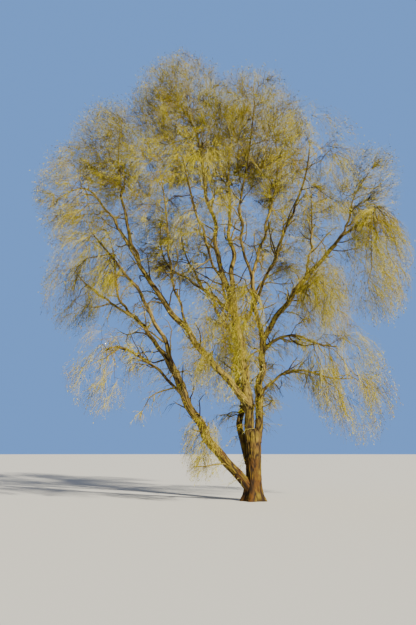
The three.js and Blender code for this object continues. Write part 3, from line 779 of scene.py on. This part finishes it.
def grow_order(order, parents, weep, random, index=None, thick=1.0):
    """One order of growth on all of its parents: golden-angle turns, spread outward and drooping.

    Its rate, length, droop and spread go from the standing value to the hanging one with weep.
    """
    rate = between(order.rate, weep) * thick
    which, share, root, tangent = scatter(parents.points, rate, order.seats, random)
    count = len(which)
    turn = np.arange(count) * GOLDEN_ANGLE + random.normal(0, TURN_CHANCE, count)
    heading = turned_off(tangent, random.uniform(*order.leaves, count), turn)
    standing = order.spread[0] * unit(root - CROWN_FORK)
    hanging = order.spread[1] * unit(root * LEVEL)
    heading = unit(heading + between((standing, hanging), weep))
    length = between(order.length, weep) * random.uniform(*LENGTH_CHANCE, count)
    length = length * between(LENGTH_ALONG, share)
    droop = between(order.droop, weep) * random.uniform(*DROOP_CHANCE, count)
    points, kept = kept_in_space(order, root, heading, length, droop, random, index)
    if order.thins:
        there = random.random(len(points)) < thickness(points[:, 0], index)
        points, kept = points[there], np.flatnonzero(kept)[there]
    place = (share * (parents.radii.shape[1] - 1)).astype(int)
    radii = child_radii(order, RADIUS_CHANCE, TIP_SHARE, parents.radii[which, place], random)
    return Shoots(points, radii[kept], parents.spray[which[kept]])


def spread_points(index, count, random):
    """Points spread evenly through a mass's space, fewer of them inside the whole crown's shell."""
    tries = SPREAD_TRIES * count
    toward = unit(random.normal(0, 1, (tries, 3))) * REACHES[index]
    spread = MIDDLES[index] + toward * random.random((tries, 1)) ** ENDS_TO_EDGE
    share = np.interp(how_far_out(spread, CROWN_MIDDLE, CROWN_REACH), SHELL, SHELL_SHARES)
    fits = is_inside(spread, index) & (spread[:, 2] > CLEARANCE)
    return spread[fits & (random.random(tries) < share)][:count]


def reach_out(order, parents, index, random):
    """Lines from near points of their parents to points spread through a mass's space.

    The cost of a root is its distance, and how far the way from it is against the growth's flow,
    which is up and out of the crown's fork where growth stands, and down where it hangs. Each line is
    a parabola that follows its parent at first and is lifted on the way.
    """
    mass = MASSES[index]
    target = spread_points(index, round(order.count * mass.full * SIZES[index] ** 2), random)
    ways = unit(np.gradient(parents.points, axis=1))[:, 1:].reshape(-1, 3)
    seats, radii = parents.points[:, 1:].reshape(-1, 3), parents.radii[:, 1:].ravel()
    way = target[:, None] - seats
    standing, hanging = unit(target - CROWN_FORK), HANG_OUT * unit(target * LEVEL) - UP
    flow = unit(between((standing, hanging), mass.weep))
    distance = lengths(way)
    against = distance - (way * flow[:, None]).sum(axis=2)
    nearest = np.argmin(distance + AGAINST_FLOW * against, axis=1)
    root = seats[nearest]
    distance = lengths(target - root)[:, None]
    lift = UP * between(order.lift, mass.weep)
    handle = (root + target) / 2 + (lift + ways[nearest] * order.follow) * distance
    t = np.linspace(0, 1, order.steps + 1)
    arches = arch_points(root[:, None], handle[:, None], target[:, None], t[None])
    lines = wander(arches, order.crook, random)
    radii = child_radii(order, REACH_RADIUS_CHANCE, order.taper, radii[nearest], random)
    # Painted shade and light: sprays are darker deep in the crown, partly for browner inner twigs, darker
    # low down, and lighter where growth hangs
    power = np.interp(how_far_out(target, CROWN_MIDDLE, CROWN_REACH), SHELL, INSIDE_TONE_AND_SHADE)
    power = power * np.interp(target[:, 2], LOW_GROWTH, LOW_PAINTED_SHADE) * HANGING_PAINTED_LIGHT ** mass.weep
    return Shoots(lines, radii, random.random(len(root)) ** power)


def with_steps(shoots, steps):
    """The same lines with fewer steps, for growth to be set on."""
    count, points, _ = shoots.points.shape
    pick = np.linspace(0, points - 1, steps + 1).round().astype(int)
    return Shoots(shoots.points[:, pick], shoots.radii[:, pick], shoots.spray)


def first_twigs(index, random):
    """A mass's stem and its twigs by the solids' rule: arches to evenly spread targets."""
    stem, stem_radius = mass_stem(index)
    weep = MASSES[index].weep
    twig = np.arange(TWIG_COUNT)
    toward = spread_direction(twig, chance(index, 0, TURN_USE), between(TWIG_PARTS, weep))
    target = MIDDLES[index] + toward * REACHES[index] * TWIG_REACH
    seat = between(TWIG_SEATS, 1 - (twig + chance(index, twig, SEAT_USE)) / TWIG_COUNT)
    root = point_at(stem, seat)
    steps = np.linspace(0, 1, TWIG_STEPS + 1)
    grown = np.full((TWIG_COUNT, TWIG_STEPS + 1, 3), np.nan)
    for share in TRIES:
        end = root + (target - root) * share
        lift = (TWIG_LIFT * weep - TWIG_SPREAD) * lengths(end - root)
        handle = (root + end) / 2 + UP * lift[:, None]
        tried = arch_points(root[:, None], handle[:, None], end[:, None], steps[None, :])
        fits = is_inside(tried[:, TWIG_STEPS // 2:], index).all(axis=1) & np.isnan(grown[:, 0, 0])
        grown[fits] = tried[fits]
    there = ~np.isnan(grown[:, 0, 0])
    stem_line = even_line(stem, TWIG_STEPS)[None]
    lines = np.concatenate((stem_line, wander(grown[there], TWIG_CROOK, random)))
    foot = stem_radius * between((1, STEM_TAPER), seat[there, None]) * TWIG_SHARE
    stem_radii = stem_radius * np.linspace(1, STEM_TAPER, TWIG_STEPS + 1)
    radii = np.concatenate((stem_radii[None], foot * np.linspace(1, TWIG_TAPER, TWIG_STEPS + 1)))
    return Shoots(lines, radii, np.zeros(len(lines)))


def repeat_shape(vertices, triangles):
    """Many shapes as one mesh, from the vertices of each and the triangles of the first."""
    starts = np.arange(len(vertices)) * vertices.shape[1]
    return vertices.reshape(-1, 3), (triangles + starts[:, None, None]).reshape(-1, 3)


def tube_mesh(lines, radii, sides):
    """Vertices and triangles of many closed tubes at once: rings round each line, a point at its tip."""
    count, points, _ = lines.shape
    tangents = unit(np.gradient(lines, axis=1))
    plane = unit(np.cross(lines[:, -1] - lines[:, 0], ALMOST_UP))[:, None]
    right = unit(np.cross(tangents, plane))
    back = np.cross(right, tangents)
    angle = np.arange(sides) / sides * FULL_TURN
    outward = turned(angle, right[:, :-1, None], back[:, :-1, None])
    rings = lines[:, :-1, None] + outward * radii[:, :-1, None, None]
    vertices = np.concatenate((rings.reshape(count, -1, 3), lines[:, -1:]), axis=1)
    body, last = ring_triangles(points - 1, sides)
    side = np.arange(sides)
    tip = fan(last + side, last + (side + 1) % sides, last + sides)
    foot = fan(side[2:], side[1:-1], 0)
    return repeat_shape(vertices, np.concatenate((body, tip, foot)))


Crown = namedtuple("Crown", "boughs arms branchlets twiglets strands")
ALWAYS_GROWN = Crown._fields[:-1]


@functools.lru_cache(maxsize=None)
def grow_crown():
    """Grows every mass from its stem to its twiglets, and the arms and shoots that clothe limbs."""
    random = np.random.default_rng(SEED)
    orders = {name: [] for name in Crown._fields}
    for index, mass in enumerate(MASSES):
        boughs = first_twigs(index, random)
        arms = reach_out(ARMS, boughs, index, random)
        parents = join_shoots((with_steps(boughs, ARMS.steps), arms))
        branchlets = reach_out(BRANCHLETS, parents, index, random)
        if mass.weep > STRANDS_FROM:
            strands = grow_order(STRANDS, branchlets, mass.weep, random, index)
            twiglets = grow_order(SIDE_TWIGS, strands, mass.weep, random, index)
            orders["strands"].append(strands)
        else:
            twiglets = grow_order(TWIGLETS, branchlets, mass.weep, random, index)
        for name, grown in zip(ALWAYS_GROWN, (boughs, arms, branchlets, twiglets)):
            orders[name].append(grown)
    for limb in LIMBS[1:]:
        line = even_line(limb_lines()[limb.name], ARMS.steps)
        bare = Shoots(line[None], np.full((1, ARMS.steps + 1), limb.radii[1]), np.zeros(1))
        arms = grow_order(LIMB_ARMS, bare, LIMB_WEEP, random, thick=math.sqrt(limb.clothed))
        parents = join_shoots((bare, arms))
        shoots = grow_order(LIMB_SHOOTS, parents, LIMB_WEEP, random, thick=limb.clothed)
        # Shoots on the limbs get sprays made lighter in the same way as hanging growth: painted light
        shoots = shoots._replace(spray=random.random(len(shoots.points)) ** HANGING_PAINTED_LIGHT)
        orders["arms"].append(arms)
        orders["branchlets"].append(shoots)
        orders["twiglets"].append(grow_order(LIMB_TWIGLETS, shoots, LIMB_WEEP, random))
    return Crown(**{name: join_shoots(groups) for name, groups in orders.items()})


def place_leaves(strands, random):
    """Each leaf's root, the direction it points in, its size, its roll and its spray's number."""
    which, _, root, tangent = scatter(strands.points, LEAVES_TO_A_METRE, LEAF_SEATS, random)
    count = len(which)
    turn = random.uniform(0, FULL_TURN, count)
    along = unit(turned_off(tangent, random.uniform(*LEAF_ANGLES, count), turn) - UP * LEAF_DROOP)
    size, roll = random.uniform(*LEAF_SIZES, count), random.uniform(0, FULL_TURN, count)
    return root, along, size[:, None], roll, strands.spray[which]


def leaf_mesh(root, along, length, width, roll):
    """Lance-shaped leaves folded along the midrib: root, tip, and an edge point on each side."""
    side = turned_off(along, np.full(len(root), math.pi / 2), roll)
    face = np.cross(side, along)
    waist = root + along * length * LEAF_WAIST + face * width * LEAF_FOLD
    tip = root + along * length
    vertices = np.stack((root, waist - side * width / 2, tip, waist + side * width / 2), axis=1)
    return repeat_shape(vertices, np.array(((0, 1, 2), (0, 2, 3))))


def join_meshes(meshes):
    """Several pairs of vertices and triangles as one."""
    starts = np.cumsum([0] + [len(vertices) for vertices, _ in meshes])
    triangles = [own + start for (_, own), start in zip(meshes, starts)]
    return np.concatenate([vertices for vertices, _ in meshes]), np.concatenate(triangles)


def tint_of(spray):
    """The number of the tint in whose share of 0 to 1 a spray's number lies."""
    return np.searchsorted(np.cumsum([tint.share for tint in TINTS]), spray, side="right")


def set_inputs(tree, node, inputs):
    """Sets each named input of a node to a value, or links it to a socket of another node."""
    for name, value in inputs.items():
        if isinstance(value, bpy.types.NodeSocket):
            tree.links.new(value, node.inputs[name])
        else:
            node.inputs[name].default_value = value


def add_node(tree, kind, inputs, **options):
    """The outputs of a new node with these options and inputs."""
    node = tree.nodes.new(kind)
    for name, value in options.items():
        setattr(node, name, value)
    set_inputs(tree, node, inputs)
    return node.outputs


def new_material(name):
    """A new material, its tree of nodes and its shader."""
    material = bpy.data.materials.new(name)
    material.use_nodes = True
    return material, material.node_tree, material.node_tree.nodes["Principled BSDF"]


def plain_material(name, colour, roughness):
    """A material of one plain colour, for what is too fine to carry a pattern."""
    material, tree, shader = new_material(name)
    looks = {"Base Color": (*colour, 1), "Roughness": roughness, "Specular IOR Level": PLAIN_SPECULAR}
    set_inputs(tree, shader, looks)
    return material


def make_tinted(name, mesh, colour, smooth=True):
    """A piece of fine growth in one plain colour."""
    piece = make_mesh(name, *mesh, smooth=smooth)
    finish_piece(piece, plain_material(name, colour, TWIG_ROUGHNESS))


def add_colour(tree, value):
    """A node that holds one colour."""
    plain = tree.nodes.new("ShaderNodeRGB")
    plain.outputs["Color"].default_value = (*value, 1)
    return plain.outputs["Color"]


def add_mix(tree, factor, low, high):
    """Two colours mixed by a factor."""
    inputs = {"Factor": factor, "A": low, "B": high}
    return add_node(tree, "ShaderNodeMix", inputs, data_type="RGBA")["Result"]


def add_range(tree, value, source=(0, 1), target=(0, 1)):
    """A value mapped from one pair of limits to another."""
    limits = dict(zip(("From Min", "From Max", "To Min", "To Max"), (*source, *target)))
    return add_node(tree, "ShaderNodeMapRange", {"Value": value, **limits})["Result"]


def add_noise(tree, scale, detail, stretch=(1, 1, 1)):
    """Noise on the object's own coordinates, stretched."""
    place = add_node(tree, "ShaderNodeTexCoord", {})["Object"]
    place = add_node(tree, "ShaderNodeMapping", {"Vector": place, "Scale": stretch})["Vector"]
    inputs = {"Vector": place, "Scale": scale, "Detail": detail}
    return add_node(tree, "ShaderNodeTexNoise", inputs)["Fac"]


def bark_material(settings):
    """Bark: near-black fissures, partly the bark's own colour and partly painted shade in the recesses,
    ridges that are warmer low down, mossy blotches and a fine grain.

    It is made once, and the limbs' skins and the boughs in the crown share it.
    """
    if "bark" in bpy.data.materials:
        return bpy.data.materials["bark"]
    material, tree, shader = new_material("bark")
    trunk, bough = add_colour(tree, settings.trunk_colour), add_colour(tree, settings.bough_colour)
    moss, fissure = add_colour(tree, settings.moss_colour), add_colour(tree, settings.fissure_colour)
    relief = add_node(tree, "ShaderNodeAttribute", {}, attribute_name="relief")["Fac"]
    warmth = add_node(tree, "ShaderNodeAttribute", {}, attribute_name="warmth")["Fac"]
    ridge = add_mix(tree, add_range(tree, warmth, WARM_RANGE), bough, trunk)
    blotches = add_range(tree, add_noise(tree, *BLOTCHES), BLOTCH_RANGE, (0, BLOTCH_SHARE))
    mossy = add_mix(tree, blotches, ridge, moss)
    bark = add_mix(tree, add_range(tree, relief, RELIEF_RANGE), fissure, mossy)
    grain = add_noise(tree, *GRAIN)
    factors = {"Vector": bark, "Scale": add_range(tree, grain, target=GRAIN_SHADE)}
    shaded = add_node(tree, "ShaderNodeVectorMath", factors, operation="SCALE")
    bumps = {"Height": grain, "Distance": GRAIN_DEPTH, "Strength": GRAIN_BUMP}
    set_inputs(tree, shader, {
        "Base Color": shaded["Vector"],
        "Roughness": add_range(tree, grain, target=GRAIN_ROUGHNESS),
        "Specular IOR Level": BARK_SPECULAR,
        "Normal": add_node(tree, "ShaderNodeBump", bumps)["Normal"],
    })
    return material


class WILLOW_OT_grow_limbs(Operator):
    """Trunk, stems and boughs: tapering skins with bark relief"""

    bl_idname = "willow.grow_limbs"
    bl_label = "Grow limbs"

    def execute(self, context):
        settings = context.scene.willow
        bark = bark_material(settings)
        for index, limb in enumerate(LIMBS):
            vertices, triangles, relief, warmth = limb_surface(index, limb, settings.bark_depth)
            values = [("relief", relief), ("warmth", warmth)]
            piece = make_mesh(f"{limb.name}_skin", vertices, triangles, values=values)
            finish_piece(piece, bark, [limb.name])
        return {"FINISHED"}


class WILLOW_OT_grow_crown_boughs(Operator):
    """The stem of each mass, the first twigs on it and the arms on those"""

    bl_idname = "willow.grow_crown_boughs"
    bl_label = "Grow crown boughs"

    def execute(self, context):
        crown = grow_crown()
        random = np.random.default_rng(SEED)
        tubes, relief = [], []
        for shoots, sides in ((crown.boughs, BOUGH_SIDES), (crown.arms, ARM_SIDES)):
            tubes.append(tube_mesh(shoots.points, shoots.radii, sides))
            count = len(shoots.points)
            # One random relief value for each tube darkens it toward the fissure colour: partly random
            # tone, partly painted shade
            shade = random.uniform(*CROWN_TONE_AND_SHADE, count)
            relief.append(np.repeat(shade, len(tubes[-1][0]) // count))
        vertices, triangles = join_meshes(tubes)
        values = [("relief", np.concatenate(relief)), ("warmth", np.zeros(len(vertices)))]
        piece = make_mesh("crown_boughs", vertices, triangles, values=values)
        bark = bark_material(context.scene.willow)
        finish_piece(piece, bark, [mass.name for mass in MASSES])
        return {"FINISHED"}


class WILLOW_OT_grow_twigs(Operator):
    """Branchlets, hanging strands and twiglets, in tints dealt out by spray"""

    bl_idname = "willow.grow_twigs"
    bl_label = "Grow twigs"

    def execute(self, context):
        crown = grow_crown()
        for index, tint in enumerate(TINTS):
            tubes = []
            for shoots in (crown.branchlets, crown.strands, crown.twiglets):
                own = tint_of(shoots.spray) == index
                tubes.append(tube_mesh(shoots.points[own], shoots.radii[own], TWIG_SIDES))
            make_tinted(f"twigs_{tint.name}", join_meshes(tubes), tint.twig_colour)
        return {"FINISHED"}


class WILLOW_OT_grow_leaves(Operator):
    """Small new leaves along the strands and twiglets, in tints dealt out by spray"""

    bl_idname = "willow.grow_leaves"
    bl_label = "Grow leaves"

    def execute(self, context):
        settings = context.scene.willow
        crown, random = grow_crown(), np.random.default_rng(SEED)
        placed = [place_leaves(shoots, random) for shoots in (crown.strands, crown.twiglets)]
        root, along, size, roll, spray = (np.concatenate(part) for part in zip(*placed))
        length, width = size * settings.leaf_length, size * settings.leaf_width
        for index, tint in enumerate(TINTS):
            own = tint_of(spray) == index
            leaves = leaf_mesh(root[own], along[own], length[own], width[own], roll[own])
            make_tinted(f"leaves_{tint.name}", leaves, tint.leaf_colour, smooth=False)
        return {"FINISHED"}


class WILLOW_OT_set_stage(Operator):
    """A plain floor and backdrop, soft light, and a camera where the photographer stood"""

    bl_idname = "willow.set_stage"
    bl_label = "Set stage"

    def execute(self, context):
        settings = context.scene.willow_stage
        side = np.arange(FLOOR_SIDES)
        rim = settings.floor_radius * turned(side / FLOOR_SIDES * FULL_TURN, ACROSS, AWAY)
        disc = np.concatenate((rim, np.zeros((1, 3)))) - UP * FLOOR_DROP
        sectors = fan(side, (side + 1) % FLOOR_SIDES, FLOOR_SIDES)
        floor = make_mesh("floor", disc, sectors, smooth=False)
        floor.data.materials.append(plain_material("floor", settings.floor_colour, FLOOR_ROUGHNESS))
        floor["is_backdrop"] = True

        world = bpy.data.worlds.new("backdrop")
        world.use_nodes = True
        tree = world.node_tree
        light, backdrop = add_colour(tree, settings.sky_light), add_colour(tree, settings.backdrop_colour)
        from_camera = add_node(tree, "ShaderNodeLightPath", {})["Is Camera Ray"]
        seen = add_mix(tree, from_camera, light, backdrop)
        set_inputs(tree, tree.nodes["Background"], {"Color": seen})
        context.scene.world = world

        for lamp in LAMPS:
            sun = bpy.data.lights.new(lamp.name, "SUN")
            sun.energy, sun.color, sun.angle = lamp.strength, lamp.colour, math.radians(lamp.softness)
            turn = (math.radians(lamp.tilt), 0, math.radians(lamp.turn))
            add_object(lamp.name, sun).rotation_euler = turn

        lens = bpy.data.cameras.new("camera")
        lens.lens, lens.clip_end = settings.lens, FARTHEST
        camera = add_object("camera", lens)
        camera.location = (settings.camera_across, -settings.camera_away, settings.camera_height)
        camera.rotation_euler = (math.pi / 2 + settings.camera_tilt, 0, 0)
        context.scene.camera = camera
        return {"FINISHED"}


class WILLOW_PT_panel(Panel):
    """Lists the steps that grow the tree"""

    bl_idname = "WILLOW_PT_panel"
    bl_label = "Willow"
    bl_space_type = "VIEW_3D"
    bl_region_type = "UI"
    bl_category = "Willow"

    def draw(self, context):
        for step in STEPS:
            self.layout.operator(step.bl_idname)


STEPS = (
    WILLOW_OT_set_stage,
    WILLOW_OT_grow_limbs,
    WILLOW_OT_grow_crown_boughs,
    WILLOW_OT_grow_twigs,
    WILLOW_OT_grow_leaves,
)
CLASSES = (WillowSettings, StageSettings, *STEPS, WILLOW_PT_panel)


def register():
    """Registers every class, and hangs the settings on the scene."""
    for kind in CLASSES:
        bpy.utils.register_class(kind)
    bpy.types.Scene.willow = PointerProperty(type=WillowSettings)
    bpy.types.Scene.willow_stage = PointerProperty(type=StageSettings)


def unregister():
    """Takes the settings and the classes out again."""
    del bpy.types.Scene.willow_stage
    del bpy.types.Scene.willow
    for kind in reversed(CLASSES):
        bpy.utils.unregister_class(kind)


def main():
    """Grows the tree step by step."""
    register()
    for step in STEPS:
        group, name = step.bl_idname.split(".")
        getattr(getattr(bpy.ops, group), name)()


if __name__ == "__main__":
    main()
